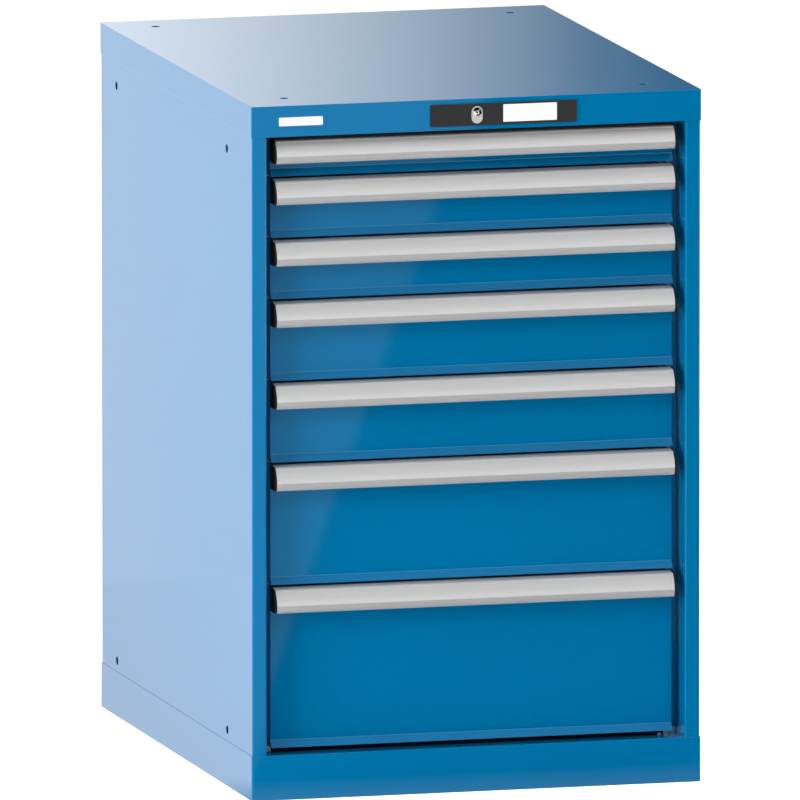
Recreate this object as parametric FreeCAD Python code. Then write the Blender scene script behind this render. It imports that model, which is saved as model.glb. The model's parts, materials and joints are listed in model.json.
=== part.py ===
"""Modular drawer cabinet: a steel housing, seven full-extension drawers and a central lock.

Sizes are in millimetres. X runs to the right, Y to the back and Z up. While a piece is made,
its Y is the depth behind the front plane of the top cover. Saving moves every piece so that
the origin lies on the floor, at the middle of the housing's plan.
"""
import FreeCAD, Part
import math
import os

# Whole cabinet
width = 564.0
depth = 725.0
height = 850.0
sheet = 1.0                     # steel of the housing and of the drawer fronts
bend = 1.0                      # inside radius of a fold in that steel
touch = 0.1                     # gap between sheets that are welded edge to face
overcut = 1.0                   # how far a cutter reaches past the surface that it opens

# Top cover and plinth, which stand one sheet proud of the side walls
cover_flange = 38.0
plinth_height = 55.0
plinth_foot = 30.0              # width of the flange that the cabinet stands on
plinth_foot_sheet = 1.5
plinth_corner = 2.0
floor_skirt = 27.0              # how far the floor panel is folded down
bolt_hole_radius = 5.25
stack_hole_from_side = 57.0     # bolt holes in the top cover
stack_hole_from_front = 61.0
stack_hole_from_back = 51.5
side_hole_from_front = 120.2    # bolt holes in the side walls
side_hole_from_back = 74.8
side_hole_from_floor = 68.7
side_hole_from_top = 67.9

# Posts, which the side walls form at the front
post_face = 18.5                # width of the post's front, as seen beside the drawers
post_return = 42.0              # how far the post runs back
post_stop = 16.0                # flange behind the drawer fronts
rear_flange = 20.0

# Drawers, from the top down. The last one takes the height that is left.
front_heights = [50.0, 75.0, 75.0, 100.0, 100.0, 150.0]
gap_under_cover = 2.0
gap_over_plinth = 5.0
pitch = 25.0                    # height step of the uprights and of the drawer fronts
front_side_gap = 10.5           # between a drawer front and the post
front_top_gap = 2.0
front_bottom_gap = 1.0
front_thickness = 17.0          # from the front's face to its rear edge
front_before_stop = 1.0         # from that edge to the post's flange
lip_height = 8.9                # flared foot of the front
lip_flare = 6.0
front_side_hem = 24.0           # flanges behind the front, which the box is fixed to
front_foot_hem = 8.0

# Handle strip, an extruded section with a cap at each end. A pair is a point of its outside:
# how far it stands off the drawer front, and how far it lies below the handle's top.
handle_rear_edge = (0.0, 0.0)
handle_slope_end = (12.4, 1.5)
handle_corner = (15.3, 2.3)
handle_face_start = (16.7, 4.4)
handle_crown = (22.0, 12.6)
handle_face_end = (24.0, 20.8)
handle_facet_end = (23.3, 26.6)
handle_foot = (21.1, 29.6)
handle_wall = 2.0
handle_leg = 12.0               # rear leg, which lies on the front
handle_hook = 4.0               # width of the finger edge at the bottom
cap_thickness = 2.5

# Drawer box
box_wall = 1.2
gap_behind_box = 65.6           # from the closed box to the back panel
wall_below_front = 17.0         # the walls are this much lower than the front
box_clear_below = 6.0           # from the drawer's zone to the underside of its box
box_flange = 2.5                # turned outwards along the top of the side walls
slot_pitch = 85.0               # slots for dividers
slot_width = 3.0
slot_from_top = 5.0
slot_longest = 46.0
slot_foot = 6.0                 # least height of plain wall under a slot

# Runners
runner_sheet = 1.5
roller_radius = 9.0
roller_width = 5.2
roller_play = 0.3               # above and below a roller, and beside it
runner_height = 26.0            # centre line above the drawer's zone
carriage_sheet = 2.0
carriage_half_height = 8.0
carriage_behind_front = 10.0    # from the drawer front to the carriage
left_behind_front = 5.2         # how much of the box's inside stays behind the front plane
end_margin = 3.0                # least distance from a roller to the end of its channel
stop_height = 4.3               # tab that keeps a roller in its channel
rail_setback = 4.0              # the rails start this far behind what is in front of them
plate_gap = 0.8                 # from the carriage's plate to the mouth of a channel

# Uprights, which carry the cabinet's rails on hooks
upright_sheet = 1.2
upright_width = 40.0
upright_behind_stop = 3.0       # the upright's face is this much further out than the post's flange
upright_behind_bar = 8.5        # from the lock's bar to the front upright
rear_upright_back_gap = 44.0    # from the rear upright to the back panel
slots_below_top = 1             # height steps under the cover that need no slot
hook_thickness = 3.0
hook_neck = 9.0
hook_drop = 5.0
hook_play = 0.3
hook_behind = 2.2

# Lock
strip_left = -58.6
strip_right = 125.0
strip_above_edge = 5.0          # heights on the cover's front are above its lower edge
strip_height = 27.0
strip_thickness = 1.8
strip_corner = 2.0
card_left = 32.8
card_width = 67.2
card_above_edge = 8.2
card_height = 21.4
card_thickness = 0.5
card_pocket = 0.6
cylinder_width = 13.7
cylinder_height = 21.0
cylinder_above_edge = 18.1
cylinder_proud = 0.8
cylinder_before_cam = 9.0
plug_radius = 5.6
plug_play = 0.05
plug_proud = 0.4
plug_dish_radius = 5.2          # dish in the plug's face, which slopes in at 45 degrees
plug_dish_depth = 2.6
plug_boss_radius = 2.4          # boss in the middle of the dish, with the key slot
key_slot_width = 1.2
key_slot_height = 3.8
key_slot_depth = 20.0
tail_side = 5.0
hub_radius = 5.0
cam_throw = 8.0
cam_thickness = 2.5
cam_start = 45.0                # degrees from straight down to the pin, on either side
pin_radius = 2.5
pin_play = 0.35
pin_edge = 1.0                  # metal round the pin
rod_thickness = 2.0
rod_behind_stop = 1.0           # from the post's flange to the rod
rod_gap = 1.5                   # from the cam to the rod
rod_edge = 3.0                  # metal above and below the slot
bar_thickness = 2.5
bar_gap = 2.0                   # from the rod to the bar
bar_beside_stop = 5.5           # from the post's flange out to the bar
bar_width = 10.0
rod_pin_inside = 2.0            # the rod's pin is this much nearer the middle than the bar
bar_head_edge = 6.5
slot_slope = 45.0               # the bar rises as far as the rod slides
finger_reach = 11.0
finger_height = 5.0
finger_below = 3.5              # unlocked, the finger lies this far below the drawer's zone
catch_above = 7.5
catch_height = 5.0
catch_thickness = 2.5
catch_gap = 0.5                 # from a locked finger to the catch
catch_side_gap = 1.0            # from the catch to the post's flange
guide_wall = 4.0
guide_height = 16.0
guide_play = 0.3
guide_edge = 1.4
rod_guides_at = (70.0, 180.0)
rail_flange = 30.0              # the top rail's upper flange
rail_lip = 9.0                  # its turned-up rear edge
deck_behind_bar = 2.5           # how far its lower flange reaches behind the lock's bar

# Places that follow from the sizes
half = width / 2
body_half = half - sheet
inner_half = body_half - sheet
body_front = sheet
body_back = depth - sheet
under_cover = height - sheet
cover_low = height - cover_flange
opening_half = body_half - post_face
stop_front = body_front + post_return
stop_half = opening_half - post_stop
front_back = stop_front - front_before_stop
front_recess = front_back - front_thickness
floor_top = plinth_height
stack_top = cover_low - gap_under_cover
stack_bottom = floor_top + gap_over_plinth
fronts = front_heights + [stack_top - stack_bottom - sum(front_heights)]
front_half = opening_half - front_side_gap
post_clear = stop_half - catch_side_gap

# The runner's layers, from the drawer outwards
channel_inside = 2 * (roller_radius + roller_play)
channel_height = channel_inside + 2 * runner_sheet
rail_depth = runner_sheet + roller_play + roller_width
upright_face = stop_half + upright_behind_stop
cabinet_rail_web = upright_face
cabinet_rail_open = cabinet_rail_web - rail_depth - 2 * roller_play
plate_outer = cabinet_rail_open - plate_gap
plate_inner = plate_outer - carriage_sheet
drawer_rail_open = plate_inner - plate_gap
box_half = drawer_rail_open - rail_depth - 2 * roller_play
box_front = front_back
box_inside_front = box_front + box_wall
back_face = body_back - sheet
box_back = back_face - sheet - gap_behind_box
box_length = box_back - box_wall - box_inside_front
drawer_rail_front = box_front + rail_setback
cabinet_rail_front = stop_front + sheet + rail_setback
rear_upright_at = back_face - sheet - rear_upright_back_gap - upright_width
cabinet_rail_back = rear_upright_at + upright_width + rail_setback

# Rollers: each pair keeps inside its channel over the whole travel
travel = box_back - box_wall - left_behind_front
carriage_travel = travel / 2
roller_room = roller_radius + runner_sheet + end_margin
carriage_front = front_back + carriage_behind_front
inner_roller_at = carriage_front + roller_radius + end_margin
inner_glide_at = box_back - roller_room - carriage_travel
outer_roller_at = cabinet_rail_front + roller_room + carriage_travel
outer_glide_at = min(box_back, rear_upright_at) - roller_room
carriage_back = outer_glide_at + roller_radius + end_margin - roller_play

# Lock
strip_low = cover_low + strip_above_edge
strip_high = strip_low + strip_height
card_low = cover_low + card_above_edge
cylinder_middle = cover_low + cylinder_above_edge
bar_inner = stop_half + bar_beside_stop
rod_pin_at = bar_inner - rod_pin_inside
plug_height = cylinder_middle + (cylinder_height - cylinder_width) / 2
cam_swing = cam_throw * math.sin(math.radians(cam_start))
lock_travel = 2 * cam_swing
rod_front = stop_front + sheet + rod_behind_stop
cam_front = rod_front - rod_gap - cam_thickness
cylinder_back = cam_front - cylinder_before_cam
rod_back = rod_front + rod_thickness
rod_height = plug_height - (cam_throw + cam_swing) / 2
rod_slot_half = (cam_throw - cam_swing) / 2 + pin_radius + 2 * pin_play
rod_half = rod_slot_half + rod_edge
head_low = rod_height - lock_travel - bar_head_edge
bar_front = rod_back + bar_gap
bar_back = bar_front + bar_thickness
catch_front = bar_back + catch_gap
rail_deck = bar_back + deck_behind_bar
front_upright_at = bar_back + upright_behind_bar


def block(x, y, z):
    """A box between three pairs of coordinates."""
    return Part.makeBox(x[1] - x[0], y[1] - y[0], z[1] - z[0], FreeCAD.Vector(x[0], y[0], z[0]))


def rod_along_y(radius, x, z, y):
    """A round bar from front to back."""
    return Part.makeCylinder(radius, y[1] - y[0], FreeCAD.Vector(x, y[0], z), FreeCAD.Vector(0, 1, 0))


def disc_along_x(radius, y, z, x):
    """A round disc from left to right."""
    return Part.makeCylinder(radius, x[1] - x[0], FreeCAD.Vector(x[0], y, z), FreeCAD.Vector(1, 0, 0))


def mirrored(shape):
    """The same piece on the other side of the cabinet."""
    return shape.mirror(FreeCAD.Vector(0, 0, 0), FreeCAD.Vector(1, 0, 0))


def in_plan(z):
    """Puts an (x, y) point of an outline at height z."""
    return lambda u, v: FreeCAD.Vector(u, v, z)


def from_side(x):
    """Puts a (y, z) point of an outline at the distance x from the middle."""
    return lambda u, v: FreeCAD.Vector(x, u, v)


def from_front(y):
    """Puts an (x, z) point of an outline at the depth y."""
    return lambda u, v: FreeCAD.Vector(u, y, v)


def unit(a, b):
    """Direction from one point of an outline to the next."""
    length = math.hypot(b[0] - a[0], b[1] - a[1])
    return (b[0] - a[0]) / length, (b[1] - a[1]) / length


def rounded_edges(points, radii, place):
    """Lines through the points, with an arc at each inner point whose radius isn't zero."""
    edges = []
    start = points[0]
    for before, corner, after, radius in zip(points, points[1:], points[2:], radii):
        inward = unit(before, corner)
        outward = unit(corner, after)
        turn = math.acos(max(-1.0, min(1.0, inward[0] * outward[0] + inward[1] * outward[1])))
        end, next_start = corner, corner
        if radius > 0 and turn > 0:
            cut = radius * math.tan(turn / 2)
            end = (corner[0] - inward[0] * cut, corner[1] - inward[1] * cut)
            next_start = (corner[0] + outward[0] * cut, corner[1] + outward[1] * cut)
        edges.append(Part.LineSegment(place(*start), place(*end)).toShape())
        if end != next_start:
            middle = ((end[0] + next_start[0]) / 2, (end[1] + next_start[1]) / 2)
            rise = radius / math.cos(turn / 2) - radius
            towards = unit(corner, middle)
            crown = (corner[0] + towards[0] * rise, corner[1] + towards[1] * rise)
            edges.append(Part.Arc(place(*end), place(*crown), place(*next_start)).toShape())
        start = next_start
    edges.append(Part.LineSegment(place(*start), place(*points[-1])).toShape())
    return edges


def outline(points, radii, place):
    """A closed face through the points; radii gives the rounding of every one of them."""
    first = ((points[0][0] + points[-1][0]) / 2, (points[0][1] + points[-1][1]) / 2)
    path = [first] + list(points) + [first]
    return Part.Face(Part.Wire(rounded_edges(path, radii, place)))


def folded_sheet(path, thickness, inside, place):
    """The section of a folded sheet. The path is one side; the metal is on its right."""
    directions = [unit(a, b) for a, b in zip(path, path[1:])]
    other = []
    path_radii = []
    other_radii = []
    for index, point in enumerate(path):
        before = directions[max(index - 1, 0)]
        after = directions[min(index, len(directions) - 1)]
        turn = before[0] * after[1] - before[1] * after[0]
        across = 1 + before[0] * after[0] + before[1] * after[1]
        shift = ((before[1] + after[1]) / across, -(before[0] + after[0]) / across)
        other.append((point[0] + shift[0] * thickness, point[1] + shift[1] * thickness))
        sharp = inside <= 0
        path_radii.append(0 if sharp else inside + (thickness if turn < 0 else 0))
        other_radii.append(0 if sharp else inside + (thickness if turn > 0 else 0))
    near = rounded_edges(path, path_radii[1:-1], place)
    far = rounded_edges(other[::-1], other_radii[::-1][1:-1], place)
    end_cap = Part.LineSegment(place(*path[-1]), place(*other[-1])).toShape()
    start_cap = Part.LineSegment(place(*other[0]), place(*path[0])).toShape()
    return Part.Face(Part.Wire(near + [end_cap] + far + [start_cap]))


def along_x(face, length):
    return face.extrude(FreeCAD.Vector(length, 0, 0))


def along_y(face, length):
    return face.extrude(FreeCAD.Vector(0, length, 0))


def along_z(face, length):
    return face.extrude(FreeCAD.Vector(0, 0, length))


def upright_edges(shape, corner_radius):
    """Rounds the vertical edges at the four outer corners of a box."""
    chosen = [e for e in shape.Edges if abs(e.tangentAt(e.FirstParameter).z) > 0.99]
    return shape.makeFillet(corner_radius, chosen)


saved = []


def save(node, *solids):
    """Writes one sub-part, moved from the front plane to the cabinet's own frame."""
    pieces = [solid.copy() for solid in solids]
    for piece in pieces:
        piece.translate(FreeCAD.Vector(0, -depth / 2, 0))
        if not piece.isValid() or piece.Volume <= 0:
            raise ValueError(f"{node} isn't a sound solid")
    shape = pieces[0] if len(pieces) == 1 else Part.makeCompound(pieces)
    shape.exportStep(f"parts/{node}.step")
    saved.append((node, len(pieces), sum(piece.Volume for piece in pieces)))


# Housing

def side_wall():
    """Right side wall: one folded sheet with the rear flange, the side and the front post."""
    path = [
        (body_half - rear_flange, body_back),
        (body_half, body_back),
        (body_half, body_front),
        (opening_half, body_front),
        (opening_half, stop_front),
        (stop_half, stop_front),
    ]
    bottom = plinth_foot_sheet
    wall = along_z(folded_sheet(path, sheet, bend, in_plan(bottom)), under_cover - bottom)
    under_post = block(
        (stop_half - touch, opening_half + sheet + bend),
        (body_front + sheet + bend, stop_front + sheet + touch),
        (bottom - touch, floor_top),
    )
    wall = wall.cut(under_post)
    for y in (side_hole_from_front, depth - side_hole_from_back):
        for z in (side_hole_from_floor, height - side_hole_from_top):
            through = (inner_half - touch, body_half + touch)
            wall = wall.cut(disc_along_x(bolt_hole_radius, y, z, through))
    return wall


def back_panel():
    """Flat rear panel, welded behind the side walls' rear flanges."""
    reach = inner_half - bend - touch
    return block((-reach, reach), (back_face - sheet, back_face), (plinth_foot_sheet, under_cover))


def lock_hole(play, y):
    """The opening that the lock cylinder passes through, larger than it by the play."""
    radius = cylinder_width / 2 + play
    offset = (cylinder_height - cylinder_width) / 2
    low = rod_along_y(radius, 0, cylinder_middle - offset, y)
    high = rod_along_y(radius, 0, cylinder_middle + offset, y)
    middle = block((-radius, radius), y, (cylinder_middle - offset, cylinder_middle + offset))
    return middle.fuse([low, high]).removeSplitter()


def top_cover():
    """Pressed cover with a flange on all four sides and four bolt holes for stacking."""
    shell = block((-half, half), (0, depth), (cover_low, height))
    shell = upright_edges(shell, plinth_corner)
    hollow = block(
        (-body_half, body_half),
        (body_front, body_back),
        (cover_low - touch, under_cover),
    )
    shell = shell.cut(hollow)
    for x in (stack_hole_from_side - half, half - stack_hole_from_side):
        for y in (stack_hole_from_front, depth - stack_hole_from_back):
            hole = Part.makeCylinder(
                bolt_hole_radius, 2 * sheet, FreeCAD.Vector(x, y, under_cover - sheet / 2)
            )
            shell = shell.cut(hole)
    return shell.cut(lock_hole(guide_play, (-sheet, body_front + sheet)))


def top_rail():
    """Channel between the posts, behind the cover's front. It carries the lock and its rod."""
    path = [
        (rail_deck, cover_low + rail_lip),
        (rail_deck, cover_low),
        (body_front, cover_low),
        (body_front, under_cover),
        (body_front + rail_flange, under_cover),
    ]
    section = folded_sheet(path, upright_sheet, bend, from_side(-opening_half))
    rail = along_x(section, 2 * opening_half)
    beside_flange = block(
        (stop_half - bar_width / 2, opening_half + touch),
        (stop_front - bend - touch, rail_deck + touch),
        (cover_low - touch, under_cover + touch),
    )
    rail = rail.cut(beside_flange).cut(mirrored(beside_flange))
    return rail.cut(lock_hole(guide_play, (0, body_front + 2 * upright_sheet)))


def base_plinth():
    """Closed band around the base, with the flange that stands on the floor."""
    band = upright_edges(block((-half, half), (0, depth), (0, plinth_height)), plinth_corner)
    above_foot = block(
        (-body_half, body_half),
        (body_front, body_back),
        (plinth_foot_sheet, plinth_height + touch),
    )
    inside_foot = block(
        (-body_half + plinth_foot, body_half - plinth_foot),
        (body_front + plinth_foot, body_back - plinth_foot),
        (-touch, plinth_height),
    )
    return band.cut(above_foot).cut(inside_foot)


def floor_panel():
    """Bottom of the housing, folded down at its four edges."""
    down = floor_top - floor_skirt
    floor_back = back_face - sheet
    behind_post = body_front + sheet + bend
    path = [(floor_back, down), (floor_back, floor_top), (body_front, floor_top), (body_front, down)]
    section = folded_sheet(path[::-1], sheet, bend, from_side(-opening_half))
    middle = along_x(section, 2 * opening_half)
    side = block((opening_half, inner_half), (behind_post, floor_back), (floor_top - sheet, floor_top))
    skirt = block((inner_half - sheet, inner_half), (behind_post, floor_back), (down, floor_top))
    edge = side.fuse(skirt)
    return middle.fuse([edge, mirrored(edge)]).removeSplitter()


def upright(y):
    """Right upright: a channel against the side wall, with a hook slot at every height step."""
    path = [
        (inner_half, y),
        (upright_face, y),
        (upright_face, y + upright_width),
        (inner_half, y + upright_width),
    ]
    section = folded_sheet(path, upright_sheet, 0, in_plan(floor_top))
    column = along_z(section, cover_low - floor_top)
    middle = y + upright_width / 2
    slots = []
    for step in range(int((stack_top - stack_bottom) // pitch) - slots_below_top):
        low = hook_seat(stack_bottom + step * pitch)
        slots.append(
            block(
                (upright_face - touch, upright_face + upright_sheet + touch),
                (middle - hook_thickness / 2 - hook_play, middle + hook_thickness / 2 + hook_play),
                (low, low + hook_neck + hook_drop + 2 * hook_play),
            )
        )
    return column.cut(slots)


def hook_seat(zone):
    """Height at which a rail's hooks sit in their slots, for the drawer whose zone starts there."""
    return zone + runner_height - hook_neck / 2


def rail_hook(y, zone):
    """Hook on the back of a cabinet rail, through the slot and down behind the upright."""
    seat = hook_seat(zone)
    behind = upright_face + upright_sheet + hook_play
    points = [
        (cabinet_rail_web - runner_sheet / 2, seat),
        (behind, seat),
        (behind, seat - hook_drop),
        (behind + hook_behind, seat - hook_drop),
        (behind + hook_behind, seat + hook_neck),
        (cabinet_rail_web - runner_sheet / 2, seat + hook_neck),
    ]
    section = outline(points, [0] * len(points), from_front(y - hook_thickness / 2))
    return along_y(section, hook_thickness)


def channel(web, mouth, y, middle):
    """A runner channel: its web at one distance from the middle, its mouth at the other."""
    low = middle - channel_height / 2
    high = middle + channel_height / 2
    path = [(mouth, low), (web, low), (web, high), (mouth, high)]
    if web < mouth:
        path = path[::-1]
    section = folded_sheet(path[::-1], runner_sheet, 0, from_front(y[0]))
    return along_y(section, y[1] - y[0])


def channel_stop(web, mouth, y, middle):
    """Tab across the end of a channel, which keeps the rollers in."""
    low = middle - channel_inside / 2
    x = sorted((web, mouth))
    return block(x, (y, y + runner_sheet), (low, low + stop_height))


def cabinet_rail(zone):
    """Right cabinet rail of one drawer, with its two hooks and its front stop."""
    middle = zone + runner_height
    y = (cabinet_rail_front, cabinet_rail_back)
    rail = channel(cabinet_rail_web, cabinet_rail_open, y, middle)
    hooks = [
        rail_hook(front_upright_at + upright_width / 2, zone),
        rail_hook(rear_upright_at + upright_width / 2, zone),
    ]
    stop = channel_stop(cabinet_rail_web, cabinet_rail_open, cabinet_rail_front, middle)
    return rail.fuse(hooks + [stop]).removeSplitter()


# Drawers

def drawer_front(zone, front_height):
    """Drawer front: a folded tray, open at the back inside its hems, with a flared foot."""
    low = zone + front_bottom_gap
    high = zone + front_height - front_top_gap
    lip = front_recess - lip_flare
    skin = [
        (front_back, low),
        (lip, low),
        (front_recess, low + lip_height),
        (front_recess, high),
        (front_back, high),
    ]
    hemmed = [(front_back, low + front_foot_hem)] + skin + [(front_back, high - front_foot_hem)]
    section = folded_sheet(hemmed, sheet, 0, from_side(-front_half))
    tray = along_x(section, 2 * front_half)
    end = along_x(outline(skin, [0] * len(skin), from_side(front_half - sheet)), sheet)
    hem = block(
        (front_half - front_side_hem, front_half),
        (front_back - sheet, front_back),
        (low, high),
    )
    return tray.fuse([end, hem, mirrored(end), mirrored(hem)]).removeSplitter()


def handle_section(top):
    """Outside of the handle: sloping top, crowned face and two narrow facets at its foot."""
    def at(point):
        return FreeCAD.Vector(0, front_recess - point[0], top - point[1])

    foot_back = at((0, handle_foot[1]))
    edges = [
        Part.LineSegment(at(handle_rear_edge), at(handle_slope_end)).toShape(),
        Part.Arc(at(handle_slope_end), at(handle_corner), at(handle_face_start)).toShape(),
        Part.Arc(at(handle_face_start), at(handle_crown), at(handle_face_end)).toShape(),
        Part.LineSegment(at(handle_face_end), at(handle_facet_end)).toShape(),
        Part.LineSegment(at(handle_facet_end), at(handle_foot)).toShape(),
        Part.LineSegment(at(handle_foot), foot_back).toShape(),
        Part.LineSegment(foot_back, at(handle_rear_edge)).toShape(),
    ]
    return Part.Face(Part.Wire(edges))


def handle_strip(top):
    """Aluminium handle: a hook section that the fingers reach under and behind."""
    outside = handle_section(top)
    room = outside.makeOffset2D(-handle_wall)
    section = outside.cut(room)
    length = 2 * (front_half - cap_thickness)
    strip = along_x(section, length)
    strip.translate(FreeCAD.Vector(-length / 2, 0, 0))
    hook_back = outside.BoundBox.YMin + handle_wall + handle_hook
    finger_way = block(
        (-front_half, front_half),
        (hook_back, front_recess + touch),
        (top - handle_foot[1] - touch, top - handle_leg),
    )
    return strip.cut(finger_way)


def end_cap(top):
    """Right end cap, which closes the whole silhouette of the handle."""
    cap = along_x(handle_section(top), cap_thickness)
    cap.translate(FreeCAD.Vector(front_half - cap_thickness, 0, 0))
    return cap


def wall_slots(inside_half, inside_length, low, high):
    """Rows of upright slots for dividers, in the two side walls."""
    slot_high = high - slot_from_top
    slot_low = max(slot_high - slot_longest, low + slot_foot)
    count = int(inside_length // slot_pitch) - 1
    first = box_inside_front + (inside_length - (count - 1) * slot_pitch) / 2
    cutters = []
    for number in range(count):
        y = first + number * slot_pitch
        for side in (-1, 1):
            x = sorted((side * (inside_half - touch), side * (box_half + touch)))
            cutters.append(
                block(x, (y - slot_width / 2, y + slot_width / 2), (slot_low, slot_high))
            )
    return cutters


def drawer_box(zone, front_height):
    """Drawer box: a tray with flanges along the top of its side walls, and rows of slots in them."""
    low = zone + box_clear_below
    high = low + front_height - wall_below_front
    tray = block((-box_half, box_half), (box_front, box_back), (low, high))
    inside = box_half - box_wall
    room = block(
        (-inside, inside),
        (box_inside_front, box_inside_front + box_length),
        (low + box_wall, high + touch),
    )
    flanges = block(
        (-box_half - box_flange, box_half + box_flange),
        (box_front, box_back),
        (high - box_wall, high),
    )
    shell = tray.fuse(flanges).cut(room).removeSplitter()
    return shell.cut(wall_slots(inside, box_length, low + box_wall, high))


def drawer_catch(zone):
    """Catch welded to the box's right side, which the lock's finger stands in front of."""
    return block(
        (box_half, post_clear),
        (catch_front, catch_front + catch_thickness),
        (zone + catch_above, zone + catch_above + catch_height),
    )


def drawer_rail(zone):
    """Right rail, welded to the outside of the box, with its stop at the rear."""
    middle = zone + runner_height
    rail = channel(box_half, drawer_rail_open, (drawer_rail_front, box_back), middle)
    stop = channel_stop(box_half, drawer_rail_open, box_back - runner_sheet, middle)
    return rail.fuse(stop).removeSplitter()


def carriage_plate(zone):
    """Right carriage: the flat bar between the two channels, cut back under its front end."""
    middle = zone + runner_height
    low = middle - carriage_half_height
    high = middle + carriage_half_height
    nose = carriage_half_height / 2
    points = [
        (carriage_front, low + nose),
        (carriage_front, high),
        (carriage_back, high),
        (carriage_back, low),
        (carriage_front + nose, low),
    ]
    return along_x(outline(points, [0] * len(points), from_side(plate_inner)), carriage_sheet)


def glide(y, middle, x):
    """Plastic block that holds the carriage's rear end level in a channel."""
    return block(
        x,
        (y - roller_radius, y + roller_radius),
        (middle - roller_radius, middle + roller_radius),
    )


def carriage_rollers(zone):
    """The right carriage's load rollers and rear glides, one of each in either channel."""
    middle = zone + runner_height
    inner = (plate_inner - roller_play - roller_width, plate_inner - roller_play)
    outer = (plate_outer + roller_play, plate_outer + roller_play + roller_width)
    return [
        disc_along_x(roller_radius, inner_roller_at, middle, inner),
        disc_along_x(roller_radius, outer_roller_at, middle, outer),
        glide(inner_glide_at, middle, inner),
        glide(outer_glide_at, middle, outer),
    ]


# Lock

def lock_strip():
    """Plastic strip on the cover's front, with the card's pocket and the lock's hole."""
    points = [
        (strip_left, strip_low),
        (strip_right, strip_low),
        (strip_right, strip_high),
        (strip_left, strip_high),
    ]
    face = outline(points, [strip_corner] * len(points), from_front(-strip_thickness))
    plate = along_y(face, strip_thickness)
    pocket = block(
        (card_left - touch, card_left + card_width + touch),
        (-strip_thickness - touch, -strip_thickness + card_pocket),
        (card_low - touch, card_low + card_height + touch),
    )
    return plate.cut(pocket).cut(lock_hole(touch, (-strip_thickness - touch, touch)))


def label_card():
    """Blank card in the strip's pocket."""
    seat = -strip_thickness + card_pocket
    return block(
        (card_left, card_left + card_width),
        (seat - card_thickness, seat),
        (card_low, card_low + card_height),
    )


def lock_cylinder():
    """Cylinder housing, with the bore that the plug turns in."""
    front = -strip_thickness - cylinder_proud
    body = lock_hole(0, (front, cylinder_back))
    bore = rod_along_y(plug_radius + plug_play, 0, plug_height, (front - overcut, cylinder_back + overcut))
    return body.cut(bore)


def lock_plug():
    """Turning plug with its dish and key slot, and the square tail that carries the cam."""
    front = -strip_thickness - cylinder_proud - plug_proud
    barrel = rod_along_y(plug_radius, 0, plug_height, (front, cylinder_back + rod_gap))
    dish = Part.makeCone(
        plug_dish_radius + overcut,
        plug_dish_radius - plug_dish_depth,
        plug_dish_depth + overcut,
        FreeCAD.Vector(0, front - overcut, plug_height),
        FreeCAD.Vector(0, 1, 0),
    )
    boss = rod_along_y(plug_boss_radius, 0, plug_height, (front, front + plug_dish_depth))
    key_slot = block(
        (-key_slot_width / 2, key_slot_width / 2),
        (front - overcut, front + key_slot_depth),
        (plug_height - key_slot_height / 2, plug_height + key_slot_height / 2),
    )
    tail = block(
        (-tail_side / 2, tail_side / 2),
        (cylinder_back + rod_gap - touch, cam_front + cam_thickness),
        (plug_height - tail_side / 2, plug_height + tail_side / 2),
    )
    return barrel.cut(dish).fuse(boss).cut(key_slot).fuse(tail).removeSplitter()


def lock_cam():
    """Cam on the plug's tail. Unlocked, its pin lies to the left of straight down."""
    y = (cam_front, cam_front + cam_thickness)
    pin_drop = cam_throw * math.cos(math.radians(cam_start))
    pin = (-cam_swing, plug_height - pin_drop)
    nose_radius = pin_radius + pin_edge
    hub = rod_along_y(hub_radius, 0, plug_height, y)
    nose = rod_along_y(nose_radius, pin[0], pin[1], y)
    arm = block((-nose_radius, nose_radius), y, (plug_height - cam_throw, plug_height))
    arm.rotate(FreeCAD.Vector(0, 0, plug_height), FreeCAD.Vector(0, 1, 0), cam_start)
    stud = rod_along_y(pin_radius, pin[0], pin[1], (cam_front, rod_back + rod_gap))
    reach = tail_side / 2 + plug_play
    tail_hole = block(
        (-reach, reach),
        (y[0] - overcut, y[1] + overcut),
        (plug_height - reach, plug_height + reach),
    )
    return hub.fuse([nose, arm, stud]).cut(tail_hole).removeSplitter()


def lock_rod():
    """Flat rod across the top: the cam slides it, and the pin at its end lifts the bar."""
    slot_half_width = pin_radius + pin_play
    left = -cam_swing - slot_half_width - rod_edge
    right = rod_pin_at + pin_radius + rod_edge
    y = (rod_front, rod_back)
    rod = block((left, right), y, (rod_height - rod_half, rod_height + rod_half))
    slot = block(
        (-cam_swing - slot_half_width, -cam_swing + slot_half_width),
        (rod_front - overcut, rod_back + overcut),
        (rod_height - rod_slot_half, rod_height + rod_slot_half),
    )
    stud = rod_along_y(pin_radius, rod_pin_at, rod_height, (rod_front, bar_back + pin_play))
    return rod.cut(slot).fuse(stud).removeSplitter()


def zones():
    """Each drawer's number, the height that its zone starts at and its front height."""
    rows = []
    top = stack_top
    for number, front_height in enumerate(fronts, start=1):
        top -= front_height
        rows.append((number, top, front_height))
    return rows


def bar_head():
    """Plate at the top of the lock's bar, with the sloping slot that the rod's pin runs in."""
    y = (bar_front, bar_back)
    through = (bar_front - overcut, bar_back + overcut)
    head = block(
        (rod_pin_at - bar_head_edge, rod_pin_at + lock_travel + bar_head_edge),
        y,
        (head_low, rod_height + bar_head_edge),
    )
    radius = pin_radius + pin_play
    start = rod_along_y(radius, rod_pin_at, rod_height, through)
    end = rod_along_y(radius, rod_pin_at + lock_travel, rod_height - lock_travel, through)
    run = block(
        (rod_pin_at, rod_pin_at + math.hypot(lock_travel, lock_travel)),
        through,
        (rod_height - radius, rod_height + radius),
    )
    run.rotate(FreeCAD.Vector(rod_pin_at, 0, rod_height), FreeCAD.Vector(0, 1, 0), slot_slope)
    return head.cut([start, end, run])


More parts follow.
